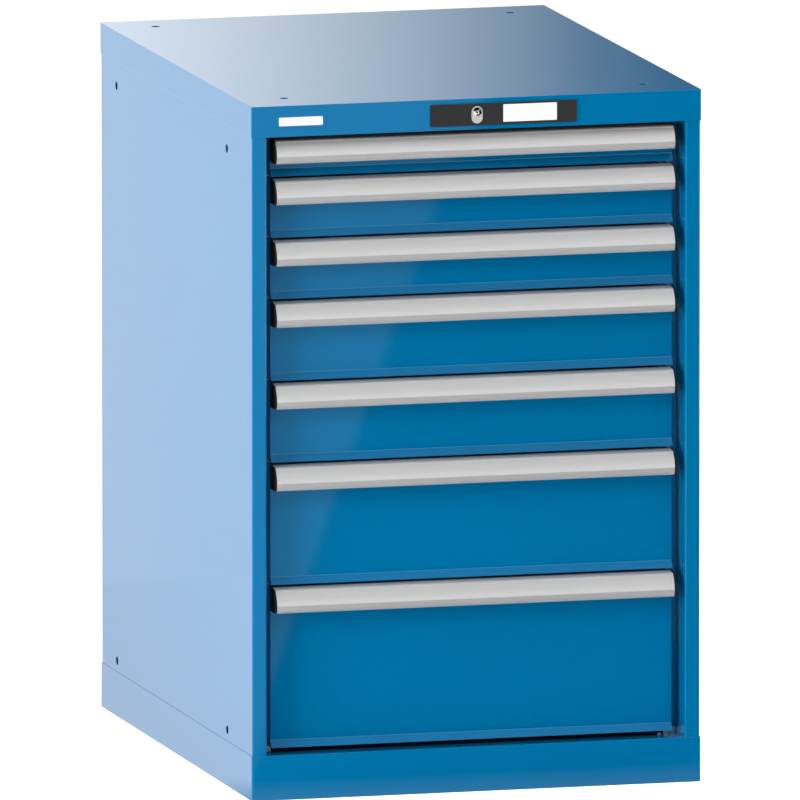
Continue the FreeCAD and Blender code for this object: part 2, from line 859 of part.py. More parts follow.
def lock_bar():
    """Upright flat bar, its head plate, and the finger welded to its edge for each drawer."""
    y = (bar_front, bar_back)
    bar = block((bar_inner, bar_inner + bar_width), y, (stack_bottom - finger_below, head_low))
    fingers = []
    for _, zone, _ in zones():
        low = zone - finger_below
        fingers.append(block((bar_inner - finger_reach, bar_inner), y, (low, low + finger_height)))
    return [bar, bar_head()] + fingers


def rod_guide(x):
    """Saddle on the top rail's lower flange, which the rod slides through."""
    deck = cover_low + upright_sheet
    body = block(
        (x - guide_wall, x + guide_wall),
        (rod_front - guide_wall, rod_back + guide_wall),
        (deck, rod_height + rod_half + guide_wall),
    )
    way = block(
        (x - guide_wall - overcut, x + guide_wall + overcut),
        (rod_front - guide_play, rod_back + guide_play),
        (rod_height - rod_half - guide_play, rod_height + rod_half + guide_play),
    )
    return body.cut(way)


def bar_guide(middle):
    """Guide on the front of the right upright, which the lock's bar slides through."""
    z = (middle - guide_height / 2, middle + guide_height / 2)
    body = block(
        (bar_inner - guide_play - guide_edge, bar_inner + bar_width + guide_wall),
        (bar_front - guide_edge - guide_play, front_upright_at),
        z,
    )
    way = block(
        (bar_inner - guide_play, bar_inner + bar_width + guide_play),
        (bar_front - guide_play, bar_back + guide_play),
        (z[0] - overcut, z[1] + overcut),
    )
    return body.cut(way)


def lock_guides():
    """The rod's two saddles, and a guide for the bar beside every other drawer."""
    guides = [rod_guide(x) for x in rod_guides_at]
    for number, zone, front_height in zones():
        if number % 2 == 1 and front_height > 2 * pitch:
            guides.append(bar_guide(zone + front_height / 2 + finger_height))
    return guides


os.makedirs("parts", exist_ok=True)

wall = side_wall()
save("side_wall_right", wall)
save("side_wall_left", mirrored(wall))
save("back_panel", back_panel())
save("top_cover", top_cover())
save("top_rail", top_rail())
save("base_plinth", base_plinth())
save("floor_panel", floor_panel())
front_upright = upright(front_upright_at)
rear_upright = upright(rear_upright_at)
save("front_uprights", front_upright, mirrored(front_upright))
save("rear_uprights", rear_upright, mirrored(rear_upright))

rails = [cabinet_rail(zone) for _, zone, _ in zones()]
save("cabinet_rails", *rails, *[mirrored(rail) for rail in rails])

for number, zone, front_height in zones():
    top = zone + front_height - front_top_gap
    rail = drawer_rail(zone)
    plate = carriage_plate(zone)
    rollers = carriage_rollers(zone)
    cap = end_cap(top)
    box = drawer_box(zone, front_height)
    save(f"drawer_{number}_box", box, rail, mirrored(rail), drawer_catch(zone))
    save(f"drawer_{number}_front", drawer_front(zone, front_height))
    save(f"drawer_{number}_handle", handle_strip(top))
    save(f"drawer_{number}_end_caps", cap, mirrored(cap))
    save(f"runner_{number}_carriage", plate, mirrored(plate))
    save(f"runner_{number}_rollers", *rollers, *[mirrored(roller) for roller in rollers])

save("lock_strip", lock_strip())
save("label_card", label_card())
save("lock_cylinder", lock_cylinder())
save("lock_plug", lock_plug())
save("lock_cam", lock_cam())
save("lock_rod", lock_rod())
save("lock_bar", *lock_bar())
save("lock_guides", *lock_guides())

for node, count, volume in saved:
    print(f"{node}: {count} solid(s), {volume / 1000:.1f} cm3")
print(f"{len(saved)} nodes")
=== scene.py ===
# %% [markdown]
# # Modular drawer cabinet
# A steel cabinet with seven full-extension drawers. Its parts arrive as finished meshes at
# their real places, in metres, with the floor at z = 0 and the drawer fronts facing -Y.
# This lesson gives each part its finish, softens the edges that a press or a paint line
# never leaves sharp, adds the small fasteners, and sets up a plain studio.

# %% Load the frame
import json
import math
import bmesh
import bpy
from mathutils import Matrix, Vector


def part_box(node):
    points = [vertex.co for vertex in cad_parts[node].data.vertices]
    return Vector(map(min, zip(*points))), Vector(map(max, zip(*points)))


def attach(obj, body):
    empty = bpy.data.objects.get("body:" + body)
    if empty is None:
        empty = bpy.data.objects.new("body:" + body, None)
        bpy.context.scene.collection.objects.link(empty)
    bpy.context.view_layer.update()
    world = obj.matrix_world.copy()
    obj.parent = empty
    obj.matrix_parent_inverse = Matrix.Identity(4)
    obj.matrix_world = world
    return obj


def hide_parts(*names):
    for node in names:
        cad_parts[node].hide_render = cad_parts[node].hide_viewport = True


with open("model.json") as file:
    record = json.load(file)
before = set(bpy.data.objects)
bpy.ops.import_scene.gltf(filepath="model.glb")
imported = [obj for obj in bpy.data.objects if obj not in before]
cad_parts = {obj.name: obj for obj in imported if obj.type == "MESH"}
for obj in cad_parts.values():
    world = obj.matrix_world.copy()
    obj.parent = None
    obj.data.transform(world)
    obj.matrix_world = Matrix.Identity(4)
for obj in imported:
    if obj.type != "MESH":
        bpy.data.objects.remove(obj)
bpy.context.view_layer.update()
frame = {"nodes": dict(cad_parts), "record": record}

MM = 0.001
nodes = frame["nodes"]

# %% [markdown]
# ## A short way to write shaders
# Paint, zinc and plastic differ in small patterns: a slight waviness, rolled lines, a grain.
# Node graphs for these grow long when every link is made by hand. Here one class holds a
# socket, so that `a * 2 + b` adds the Math nodes itself, and so does `1 - a`.

# %% A socket that can be calculated with
class Wire:
    """A socket in a node tree, on which Python's operators add Math nodes."""

    def __init__(self, tree, socket):
        self.tree = tree
        self.socket = socket

    def combine(self, operation, first, second):
        values = {0: first, 1: second}
        return add_node(self.tree, "ShaderNodeMath", {"operation": operation}, values)

    def __add__(self, other):
        return self.combine("ADD", self, other)

    def __radd__(self, other):
        return self.combine("ADD", other, self)

    def __sub__(self, other):
        return self.combine("SUBTRACT", self, other)

    def __rsub__(self, other):
        return self.combine("SUBTRACT", other, self)

    def __mul__(self, other):
        return self.combine("MULTIPLY", self, other)

    def __rmul__(self, other):
        return self.combine("MULTIPLY", other, self)


print("sockets can be added, subtracted and multiplied")

# %% [markdown]
# ## Any other node
# Noise, ramps and shaders have no operator, so one function adds any node from its type. It
# sets what the node is first, because that can change which sockets it has, and only then
# fills in or links its sockets.

# %% One function for every node
def add_node(tree, kind, settings=None, values=None, output=0):
    """Adds one node: its settings first, then the values or links of its sockets."""
    made = tree.nodes.new(kind)
    for name, setting in (settings or {}).items():
        if name == "stops":
            elements = made.color_ramp.elements
            for number, (place, colour) in enumerate(setting):
                stop = elements[number] if number < 2 else elements.new(place)
                stop.position = place
                stop.color = colour
        else:
            setattr(made, name, setting)
    for name, value in (values or {}).items():
        if isinstance(value, Wire):
            tree.links.new(value.socket, made.inputs[name])
        else:
            made.inputs[name].default_value = value
    return Wire(tree, made.outputs[output]) if made.outputs else None


print("node helper ready")

# %% [markdown]
# ## One material from a few surface patterns
# Every finish here is the same shader with its own colour, roughness and bump. What never
# changes over a surface, such as the coat of a paint, is set once as a plain number. What
# does change is a pattern in the part's own coordinates, so it stays put when it moves.

# %% Patterns and the surface itself
def grey(level):
    return (level, level, level, 1.0)


class Finish:
    """A material on its way: patterns come from its methods, `surface` ends it."""

    def __init__(self, name):
        self.material = bpy.data.materials.new(name)
        self.material.use_nodes = True
        self.tree = self.material.node_tree
        self.tree.nodes.clear()
        self.place = self.node("ShaderNodeTexCoord", output="Object")

    def node(self, kind, settings=None, values=None, output=0):
        return add_node(self.tree, kind, settings, values, output)

    def cloud(self, grain, stretch=(1.0, 1.0, 1.0), detail=2.0, rough=0.5):
        """Soft noise from 0 to 1, whose patches are about `grain` metres across."""
        spread = tuple(part / grain for part in stretch)
        spot = self.node(
            "ShaderNodeVectorMath", {"operation": "MULTIPLY"}, {0: self.place, 1: spread}
        )
        values = {"Vector": spot, "Scale": 1.0, "Detail": detail, "Roughness": rough}
        return self.node("ShaderNodeTexNoise", {"noise_dimensions": "3D"}, values, "Fac")

    def tint(self, factor, low, high):
        """A colour between two others."""
        values = {"Factor": factor, "A": low, "B": high}
        return self.node("ShaderNodeMix", {"data_type": "RGBA"}, values, "Result")

    def surface(self, colour, roughness, height=None, depth=0.0, **fixed):
        """Joins colour, roughness and relief; `depth` is the relief's height in metres."""
        values = {"Base Color": colour, "Roughness": roughness}
        values.update({name.replace("_", " "): value for name, value in fixed.items()})
        if height is not None:
            relief = {"Height": height, "Distance": depth, "Strength": 1.0}
            values["Normal"] = self.node("ShaderNodeBump", None, relief)
        shader = self.node("ShaderNodeBsdfPrincipled", None, values)
        self.node("ShaderNodeOutputMaterial", None, {"Surface": shader})
        return self.material


print("finish helper ready")

# %% [markdown]
# ## Powder coat
# Housing and drawer fronts wear the same gloss powder coat. Baked powder never lies quite
# flat: it keeps a faint waviness a few millimetres wide, known as orange peel, which shows
# only where light glances off it. The colour itself is even, so its variation is tiny.
# A clear coat layer gives the strong mirror at shallow angles that lightens side and top.

# %% Blue gloss paint
PAINT_BLUE = (0.0, 0.176, 0.405, 1.0)
PAINT_BLUE_THICK = (0.0, 0.188, 0.428, 1.0)


def gloss_paint(name):
    finish = Finish(name)
    peel = finish.cloud(2.6 * MM, detail=1.0)
    drift = finish.cloud(180 * MM, detail=3.0)
    colour = finish.tint(drift, PAINT_BLUE, PAINT_BLUE_THICK)
    roughness = 0.02 + 0.02 * finish.cloud(14 * MM)
    return finish.surface(
        colour, roughness, peel, 0.0012 * MM, Coat_Weight=1.0, Coat_Roughness=0.02
    )


finishes = {
    "housing_paint": gloss_paint("housing_paint_gloss"),
    "front_paint": gloss_paint("front_paint_gloss"),
}
print("blue paint:", len(finishes), "materials")

# %% [markdown]
# ## Anodised aluminium
# The handle strips are extruded and then anodised satin. Extrusion leaves fine lines along
# the strip, which anodising softens to a silvery grey. So the noise is stretched along X,
# and it moves the roughness more than it moves the colour. The anodised skin is half way
# between bare metal and a pale coat: it mirrors the room softly and still has a colour of
# its own.

# %% Satin handle strip
finish = Finish("handle_aluminium_satin")
lines = finish.cloud(0.5 * MM, stretch=(0.004, 1.0, 1.0), detail=3.0)
speck = finish.cloud(0.7 * MM, detail=4.0, rough=0.7)
colour = finish.tint(lines * 0.6 + speck * 0.4, grey(0.65), grey(0.73))
finishes["handle_aluminium"] = finish.surface(
    colour, 0.38 + 0.10 * lines, lines, 0.004 * MM, Metallic=0.5, Specular_IOR_Level=0.3
)
print("aluminium ready")

# %% [markdown]
# ## Plastics, card and nylon
# The end caps and the lock strip are moulded in dyed plastic. The mould is spark-eroded, so
# the skin has a grain of a few tenths of a millimetre. The card is plain paper with short
# fibres, and the rollers are natural nylon, slightly milky. All of them are the same kind of
# surface with another grain and colour, so one function makes them.

# %% Moulded plastics
def moulded(name, dark, light, grain, relief, roughness, **fixed):
    finish = Finish(name)
    skin = finish.cloud(grain, detail=3.0, rough=0.6)
    patch = finish.cloud(25 * MM)
    colour = finish.tint(skin * 0.7 + patch * 0.3, dark, light)
    return finish.surface(colour, roughness + 0.1 * skin, skin, relief, **fixed)


finishes["black_plastic"] = moulded(
    "black_plastic_grained", grey(0.006), grey(0.014), 0.35 * MM, 0.03 * MM, 0.5,
    Specular_IOR_Level=0.25,
)
finishes["strip_plastic"] = moulded(
    "strip_plastic_grained", grey(0.016), grey(0.028), 0.5 * MM, 0.02 * MM, 0.6
)
finishes["nylon"] = moulded(
    "nylon_natural", (0.74, 0.73, 0.69, 1), (0.84, 0.83, 0.80, 1), 0.8 * MM, 0.01 * MM, 0.4
)
finishes["card"] = moulded(
    "card_blank", grey(0.93), grey(0.99), 0.4 * MM, 0.01 * MM, 0.75
)
finishes["badge_plastic"] = moulded(
    "badge_plastic_blank", grey(0.86), grey(0.93), 0.6 * MM, 0.005 * MM, 0.25
)
print("plastics ready")

# %% [markdown]
# ## Zinc plate
# Uprights, rails and carriages are zinc plated. Plating has a faint cloudy bloom, and the
# sheet under it keeps the lines of the rolling mill. So two patterns are added up: broad
# soft clouds, and fine noise drawn out along Y, the way the rails run.

# %% Plated sheet
finish = Finish("zinc_steel_plated")
bloom = finish.cloud(16 * MM, detail=4.0, rough=0.65)
mill = finish.cloud(0.6 * MM, stretch=(1.0, 0.01, 1.0), detail=2.0)
colour = finish.tint(bloom, (0.50, 0.52, 0.55, 1), (0.70, 0.71, 0.72, 1))
finishes["zinc_steel"] = finish.surface(
    colour, 0.30 + 0.10 * bloom + 0.08 * mill, mill, 0.004 * MM, Metallic=0.9
)
print("zinc ready")

# %% [markdown]
# ## Nickel on the lock
# The lock's housing is a die casting under satin nickel, brushed lightly upright. Its plug
# is turned and polished, so it is nearly a mirror with only a trace of wiping marks. Both
# are the same few lines with other numbers, so they share a function.

# %% Satin and polished nickel
def nickel(name, dark, light, grain, stretch, smooth, rougher, relief, metallic):
    finish = Finish(name)
    wipe = finish.cloud(grain, stretch=stretch)
    colour = finish.tint(wipe, dark, light)
    return finish.surface(colour, smooth + rougher * wipe, wipe, relief, Metallic=metallic)


finishes["lock_chrome"] = nickel(
    "lock_nickel_satin", (0.60, 0.59, 0.57, 1), (0.72, 0.71, 0.69, 1),
    0.3 * MM, (1.0, 1.0, 0.1), 0.30, 0.12, 0.003 * MM, 0.25,
)
finishes["plug_nickel"] = nickel(
    "plug_nickel_polished", (0.82, 0.81, 0.79, 1), (0.92, 0.91, 0.89, 1),
    0.25 * MM, (1.0, 1.0, 1.0), 0.06, 0.08, 0.002 * MM, 1.0,
)
print("nickel ready")

# %% [markdown]
# ## Paint of the boxes
# The drawer boxes have a light grey powder coat, matt and slightly gritty, so that small
# scratches don't show. The grit is fine noise with a relief of two hundredths of a
# millimetre.

# %% Grey textured paint
finish = Finish("box_paint_textured")
crumb = finish.cloud(0.7 * MM, detail=3.0, rough=0.6)
colour = finish.tint(crumb, (0.38, 0.40, 0.40, 1), (0.45, 0.47, 0.47, 1))
finishes["box_paint"] = finish.surface(colour, 0.42 + 0.12 * crumb, crumb, 0.02 * MM)
print(len(finishes), "finishes")

# %% [markdown]
# ## Finishes on the parts
# The record says which finish each part has. A part keeps its mesh and its place, and only
# its material slots change.

# %% Put every finish on its parts
for part in frame["record"]["subparts"]:
    shown = nodes[part["node"]]
    shown.data.materials.clear()
    shown.data.materials.append(finishes[part["material_slot"]])

# %% [markdown]
# ## Softened edges
# Cut sheet has a small burr rounded off by the paint, and moulded caps have a radius. A
# perfectly sharp edge catches no light, which is what makes a model look like a drawing.
# The parts come as plain triangles with split corners, so they are first welded, their flat
# triangles are joined into faces, and only then are the remaining sharp edges rounded. Last
# come the normals: split at creases, and weighted so that large faces stay flat.

# %% Modifiers that round one part
WELD_GAP = 0.005 * MM
FLAT_WITHIN = math.radians(1.0)
EDGE_SEGMENTS = 2
BROAD_FACES_FIRST = 100


def soften(shown, radius, sharpest, creased):
    """Rounds edges sharper than one angle and creases those sharper than another."""
    weld = shown.modifiers.new("weld", "WELD")
    weld.merge_threshold = WELD_GAP
    flat = shown.modifiers.new("flat", "DECIMATE")
    flat.decimate_type = "DISSOLVE"
    flat.angle_limit = FLAT_WITHIN
    edge = shown.modifiers.new("edge", "BEVEL")
    edge.width = radius
    edge.segments = EDGE_SEGMENTS
    edge.limit_method = "ANGLE"
    edge.angle_limit = math.radians(sharpest)
    edge.use_clamp_overlap = False
    crease = shown.modifiers.new("crease", "EDGE_SPLIT")
    crease.split_angle = math.radians(creased)
    crease.use_edge_sharp = False
    shade = shown.modifiers.new("shade", "WEIGHTED_NORMAL")
    shade.weight = BROAD_FACES_FIRST
    shade.keep_sharp = False


print("edge helper ready")

# %% [markdown]
# ## Which edges are rounded
# Only the parts that show from outside need it. The drawer fronts have a flared foot whose
# bend is shallow, so there even a 28 degree edge is rounded. The handles are extruded with
# crisp facets, so there a crease starts at 10 degrees.

# %% Round the edges of the parts
# What a part's name holds: radius, angle that is rounded, angle that is creased
EDGES = {
    "_front": (0.45 * MM, 28.0, 60.0),
    "_handle": (0.30 * MM, 40.0, 10.0),
    "_end_caps": (0.50 * MM, 40.0, 60.0),
    "side_wall": (0.30 * MM, 40.0, 60.0),
    "top_cover": (0.30 * MM, 40.0, 60.0),
    "base_plinth": (0.30 * MM, 40.0, 60.0),
    "lock_strip": (0.35 * MM, 40.0, 60.0),
    "lock_cylinder": (0.30 * MM, 40.0, 60.0),
}
softened = 0
for name, shown in nodes.items():
    for word, (radius, sharpest, creased) in EDGES.items():
        if word in name:
            soften(shown, radius, sharpest, creased)
            softened += 1
print("softened", softened, "parts")

# %% [markdown]
# ## Small solids in mesh code
# Rivets, buffers and the badge are too small for the construction model, but they are what
# the eye looks for on sheet metal. One helper runs mesh code and gives the piece its finish
# and its body, and another makes anything round from a turned profile.

# %% Pieces from mesh code
def in_scene(name, data):
    """Puts an object for a mesh, a lamp or a lens into the scene."""
    made = bpy.data.objects.new(name, data)
    bpy.context.collection.objects.link(made)
    return made


def built_mesh(name, mesh_maker):
    """Runs mesh code and returns its mesh."""
    mesh = bpy.data.meshes.new(name)
    work = bmesh.new()
    mesh_maker(work)
    bmesh.ops.recalc_face_normals(work, faces=work.faces)
    work.to_mesh(mesh)
    work.free()
    return mesh


def new_piece(name, mesh_maker, slot, body, creased=180.0):
    """Makes a smooth piece from mesh code, with its finish, that rides on a body."""
    mesh = built_mesh(name, mesh_maker)
    for face in mesh.polygons:
        face.use_smooth = True
    mesh.materials.append(finishes[slot])
    piece = in_scene(name, mesh)
    crease = piece.modifiers.new("crease", "EDGE_SPLIT")
    crease.split_angle = math.radians(creased)
    crease.use_edge_sharp = False
    shade = piece.modifiers.new("shade", "WEIGHTED_NORMAL")
    shade.keep_sharp = False
    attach(piece, body)
    return piece


print("piece helper ready")

# %% [markdown]
# ## Turned profiles
# A lathe gives a shape from one outline, and so does this: each point of the outline makes
# a ring, or a single point where it meets the axis, and neighbouring rings are joined.

# %% A small lathe
def in_metres(profile):
    """A profile's pairs, given in millimetres."""
    return [(radius * MM, height * MM) for radius, height in profile]


def turned(work, profile, centre, axis, steps=20):
    """Adds a closed turned solid; the profile's pairs are (radius, height) along the axis."""
    turn = Vector((0, 0, 1)).rotation_difference(Vector(axis)).to_matrix().to_4x4()
    place = Matrix.Translation(centre) @ turn
    rings = []
    for radius, height in profile:
        ring = []
        for step in range(steps if radius else 1):
            angle = 2 * math.pi * step / steps
            spot = Vector((radius * math.cos(angle), radius * math.sin(angle), height))
            ring.append(work.verts.new(place @ spot))
        rings.append(ring)
    for low, high in zip(rings, rings[1:]):
        for step in range(steps):
            after = (step + 1) % steps
            corners = [
                low[step % len(low)],
                low[after % len(low)],
                high[after % len(high)],
                high[step % len(high)],
            ]
            work.faces.new(list(dict.fromkeys(corners)))


print("lathe ready")

# %% [markdown]
# ## Blank badge
# A small plate sits at the left of the top band. Here it stays blank: white moulded plastic
# with rounded corners, glued to the cover. Its outline is four quarter circles, and the
# same outline can be drawn again a little further in.

# %% Outline of the badge
BADGE_LEFT, BADGE_RIGHT = -247.5 * MM, -192.6 * MM
BADGE_LOW, BADGE_HIGH = 825.2 * MM, 835.9 * MM
BADGE_CORNER = 1.2 * MM
CORNER_STEPS = 5


def rounded_ring(work, inset, y):
    """One closed ring of points round the badge."""
    centres = [
        (BADGE_RIGHT - BADGE_CORNER, BADGE_HIGH - BADGE_CORNER, 0),
        (BADGE_LEFT + BADGE_CORNER, BADGE_HIGH - BADGE_CORNER, 90),
        (BADGE_LEFT + BADGE_CORNER, BADGE_LOW + BADGE_CORNER, 180),
        (BADGE_RIGHT - BADGE_CORNER, BADGE_LOW + BADGE_CORNER, 270),
    ]
    reach = BADGE_CORNER - inset
    ring = []
    for x, z, start in centres:
        for step in range(CORNER_STEPS + 1):
            angle = math.radians(start + 90 * step / CORNER_STEPS)
            spot = (x + reach * math.cos(angle), y, z + reach * math.sin(angle))
            ring.append(work.verts.new(spot))
    return ring


print("badge", round((BADGE_RIGHT - BADGE_LEFT) / MM, 1), "mm wide")

# %% [markdown]
# ## Rim of the badge
# A moulded plate has a fine raised rim, so that dirt and knocks stay off its middle. Rings of
# the outline are stacked in front of the cover, first outwards and then inwards, which gives
# the rounded rim and its inner step.

# %% Badge plate
# Each ring's inset from the outline and its place in front of the cover, in millimetres
BADGE_RINGS = [
    (0.0, 0.0), (0.0, 0.55), (0.12, 0.75), (0.30, 0.80), (0.45, 0.75), (0.55, 0.62)
]
cover_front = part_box("top_cover")[0][1]


def badge_mesh(work):
    rings = [
        rounded_ring(work, inset * MM, cover_front - proud * MM) for inset, proud in BADGE_RINGS
    ]
    work.faces.new(rings[0])
    work.faces.new(rings[-1])
    for outer, inner in zip(rings, rings[1:]):
        for number in range(len(outer)):
            after = (number + 1) % len(outer)
            work.faces.new([outer[number], outer[after], inner[after], inner[number]])


badge = new_piece("blank_badge", badge_mesh, "badge_plastic", "housing")
print("badge:", len(badge.data.polygons), "faces")

# %% [markdown]
# ## Lock plug
# The plug's face is the one polished spot on the cabinet: a shallow bowl with a small raised
# boss that the key goes into. A bowl mirrors its surroundings the wrong way round and a boss
# the right way round, so the eye reads the shape from where black and white meet. The
# construction model's plug has a steep cone there, which traps the light and looks black. So
# the plug is turned here with a shallow bowl, part of a sphere twice as wide, and takes the
# other's place.

# %% The bowl, in millimetres
BOWL_RADIUS = 5.2
BOWL_SPHERE = 10.4


def bowl_height(radius):
    """The bowl's height over the plug's face, below zero, at a distance from the middle."""
    rim = math.sqrt(BOWL_SPHERE**2 - BOWL_RADIUS**2)
    return rim - math.sqrt(BOWL_SPHERE**2 - radius**2)


print("bowl", round(-bowl_height(0.0), 2), "mm deep")

# %% [markdown]
# ## Outline of the plug
# The lathe needs the whole outline in one line: the tail that turns the cam, the barrel, a
# rim with a small bevel, the bowl in fine steps, and the domed boss. The boss is fuller than
# half a ball, which an exponent below 1 on its radius gives.

# %% Profile of the plug, in millimetres
PLUG_RADIUS = 5.6
PLUG_LENGTH = 46.5
BARREL_LENGTH = 34.6
TAIL_RADIUS = 3.0
RIM_BEVEL, RIM_BEVEL_DEPTH = 0.15, 0.25
BOWL_STEPS = 12
BOSS_RADIUS = 2.0
BOSS_HEIGHT = 0.9
BOSS_FULLNESS = 0.7
BOSS_ANGLES = (15, 30, 45, 60, 75)


def plug_profile():
    """From the tail's end to the top of the boss; height 0 is the plug's face."""
    profile = [
        (0, -PLUG_LENGTH),
        (TAIL_RADIUS, -PLUG_LENGTH),
        (TAIL_RADIUS, -BARREL_LENGTH),
        (PLUG_RADIUS, -BARREL_LENGTH),
        (PLUG_RADIUS, -RIM_BEVEL_DEPTH),
        (PLUG_RADIUS - RIM_BEVEL, 0),
    ]
    for step in range(BOWL_STEPS + 1):
        radius = BOWL_RADIUS + (BOSS_RADIUS - BOWL_RADIUS) * step / BOWL_STEPS
        profile.append((radius, bowl_height(radius)))
    foot = bowl_height(BOSS_RADIUS)
    for angle in BOSS_ANGLES:
        turn = math.radians(angle)
        radius = BOSS_RADIUS * math.cos(turn) ** BOSS_FULLNESS
        profile.append((radius, foot + BOSS_HEIGHT * math.sin(turn)))
    return profile + [(0, foot + BOSS_HEIGHT)]


print("plug profile:", len(plug_profile()), "points")

# %% [markdown]
# ## The key slot
# The key enters through a narrow upright slot in the boss. A boolean cuts it, and is applied
# at once, so that the plug is one plain mesh before the bodies start to move.

# %% Turned plug with its key slot
PLUG_STEPS = 64
SLOT_WIDTH, SLOT_HEIGHT, SLOT_LENGTH = 1.0 * MM, 2.6 * MM, 20.0 * MM
plug_low, plug_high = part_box("lock_plug")
plug_middle = (0.0, plug_low[1], (plug_low[2] + plug_high[2]) / 2)


def plug_mesh(work):
    turned(work, in_metres(plug_profile()), plug_middle, (0, -1, 0), PLUG_STEPS)


def slot_mesh(work):
    size = Matrix.Diagonal((SLOT_WIDTH, SLOT_LENGTH, SLOT_HEIGHT, 1.0))
    bmesh.ops.create_cube(work, size=1.0, matrix=Matrix.Translation(plug_middle) @ size)


def cut_away(piece, mesh_maker):
    """Cuts one mesh out of a piece, for good, and removes the cutter."""
    cutter = in_scene("cutter", built_mesh("cutter", mesh_maker))
    cut = piece.modifiers.new("cut", "BOOLEAN")
    cut.operation = "DIFFERENCE"
    cut.object = cutter
    with bpy.context.temp_override(object=piece, active_object=piece):
        bpy.ops.object.modifier_move_to_index(modifier="cut", index=0)
        bpy.ops.object.modifier_apply(modifier="cut")
    bpy.data.objects.remove(cutter)


plug = new_piece("turned_plug", plug_mesh, "plug_nickel", "lock_barrel", creased=35.0)
cut_away(plug, slot_mesh)
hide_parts("lock_plug")
print("plug:", len(plug.data.polygons), "faces")

# %% [markdown]
# ## Rivets on the back
# The back panel is riveted to the rear flanges of the side walls. A blind rivet shows a low
# domed head with a small crater where its mandrel broke off, so the profile dips in the
# middle. All of them go into one mesh.

# %% Blind rivets
RIVET = [
    (0.0, 0.0), (3.1, 0.0), (3.2, 0.25), (2.6, 0.7),
    (1.6, 0.85), (1.0, 0.8), (0.8, 0.45), (0.0, 0.45),
]
RIVET_X = 271.0 * MM
RIVET_LOWEST = 100.0 * MM
RIVET_PITCH = 98.0 * MM
RIVET_ROWS = 8
flange_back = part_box("side_wall_left")[1][1]


def rivet_mesh(work):
    for side in (-1, 1):
        for row in range(RIVET_ROWS):
            centre = (side * RIVET_X, flange_back, RIVET_LOWEST + RIVET_PITCH * row)
            turned(work, in_metres(RIVET), centre, (0, 1, 0))


new_piece("back_rivets", rivet_mesh, "zinc_steel", "housing")
print(2 * RIVET_ROWS, "rivets")

# %% [markdown]
# ## Buffers
# Each drawer closes against the posts. Four small rubber buttons on the back of its front
# take the knock. They are turned too, and every drawer's set rides on that drawer. The
# places come from the front's own box, so that fronts of every height get theirs.

# %% Four buffers behind each front
DRAWERS = range(1, 8)
DOME_STEPS = 16
BUFFER = [(0.0, 0.0), (2.3, 0.0), (2.35, 0.3), (1.9, 0.65), (1.1, 0.8), (0.0, 0.82)]
BUFFER_X = 249.3 * MM
BUFFER_INSET = 10.0 * MM


def buffers_behind(front):
    """Mesh code for the four buffers on the back of one drawer front."""
    low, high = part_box(front)

    def mesh_maker(work):
        for side in (-1, 1):
            for z in (low[2] + BUFFER_INSET, high[2] - BUFFER_INSET):
                centre = (side * BUFFER_X, high[1], z)
                turned(work, in_metres(BUFFER), centre, (0, 1, 0), DOME_STEPS)

    return mesh_maker


for number in DRAWERS:
    buffers = buffers_behind(f"drawer_{number}_front")
    new_piece(f"drawer_{number}_buffers", buffers, "black_plastic", f"drawer_{number}")
print("buffers for", len(DRAWERS), "drawers")

# %% [markdown]
# ## Axle ends
# The runner's rollers turn on riveted axles, whose ends show as low domes: one roller on the
# drawer's side of the carriage, and one on the cabinet's side further back. Both domes lie
# on the faces of their rollers and ride on the carriage.

# %% Domes on the rollers
AXLE = [(0.0, 0.0), (2.6, 0.0), (2.5, 0.12), (1.8, 0.2), (0.0, 0.22)]
CARRIAGE_INSIDE, CARRIAGE_OUTSIDE = 239.1 * MM, 241.1 * MM
ROLLER_GAP, ROLLER_WIDTH = 0.3 * MM, 5.2 * MM
INNER_ROLLER_Y = cover_front + 64.0 * MM
OUTER_ROLLER_Y = cover_front + 386.5 * MM


def axle_ends_of(rollers):
    """Mesh code for the axle ends on both sides of one drawer's rollers."""
    low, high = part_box(rollers)
    middle = (low[2] + high[2]) / 2
    reach = ROLLER_GAP + ROLLER_WIDTH

    def mesh_maker(work):
        for side in (-1, 1):
            inner = (side * (CARRIAGE_INSIDE - reach), INNER_ROLLER_Y, middle)
            outer = (side * (CARRIAGE_OUTSIDE + reach), OUTER_ROLLER_Y, middle)
            turned(work, in_metres(AXLE), inner, (-side, 0, 0), DOME_STEPS)
            turned(work, in_metres(AXLE), outer, (side, 0, 0), DOME_STEPS)

    return mesh_maker


for number in DRAWERS:
    axle_ends = axle_ends_of(f"runner_{number}_rollers")
    new_piece(f"runner_{number}_axles", axle_ends, "zinc_steel", f"carriage_{number}")
print("axle ends for", len(DRAWERS), "drawers")

# %% [markdown]
# ## Slots and their finish
# The record lists material slots for the parts. A new piece names the slot that it takes
# its finish from.

# %% [markdown]
# ## The room
# Gloss paint shows its surroundings as much as its colour, so what the paint mirrors is set
# up apart from what lights it. The world lights the cabinet evenly and weakly, but the
# camera sees it white, and so does any mirror that faces the back of the room. Telling such
# rays apart, and fading one level into another, needs three small helpers.

# %% Kinds of rays, places and fades
def ray(tree, kind):
    """1 for rays of one kind, and 0 for the rest."""
    return add_node(tree, "ShaderNodeLightPath", output=kind)


def along(tree, vector, axis):
    """One coordinate of a vector."""
    return add_node(tree, "ShaderNodeSeparateXYZ", None, {"Vector": vector}, axis)


def fade(tree, value, start, end):
    """0 where the value is at `start`, 1 where it is at `end`, and even in between."""
    span = {"Value": value, "From Min": start, "From Max": end}
    return add_node(tree, "ShaderNodeMapRange", {"clamp": True}, span)


print("ray helpers ready")

# %% [markdown]
# ## The world
# Towards the front the mirrored room is dark, which keeps the paint deep. Only a band near
# the horizon is bright there. The aluminium handles mirror it in their faces, while their
# lower facets look down at the dark floor. The levels are numbers along the ray's own
# direction, so they stay put when the camera moves.

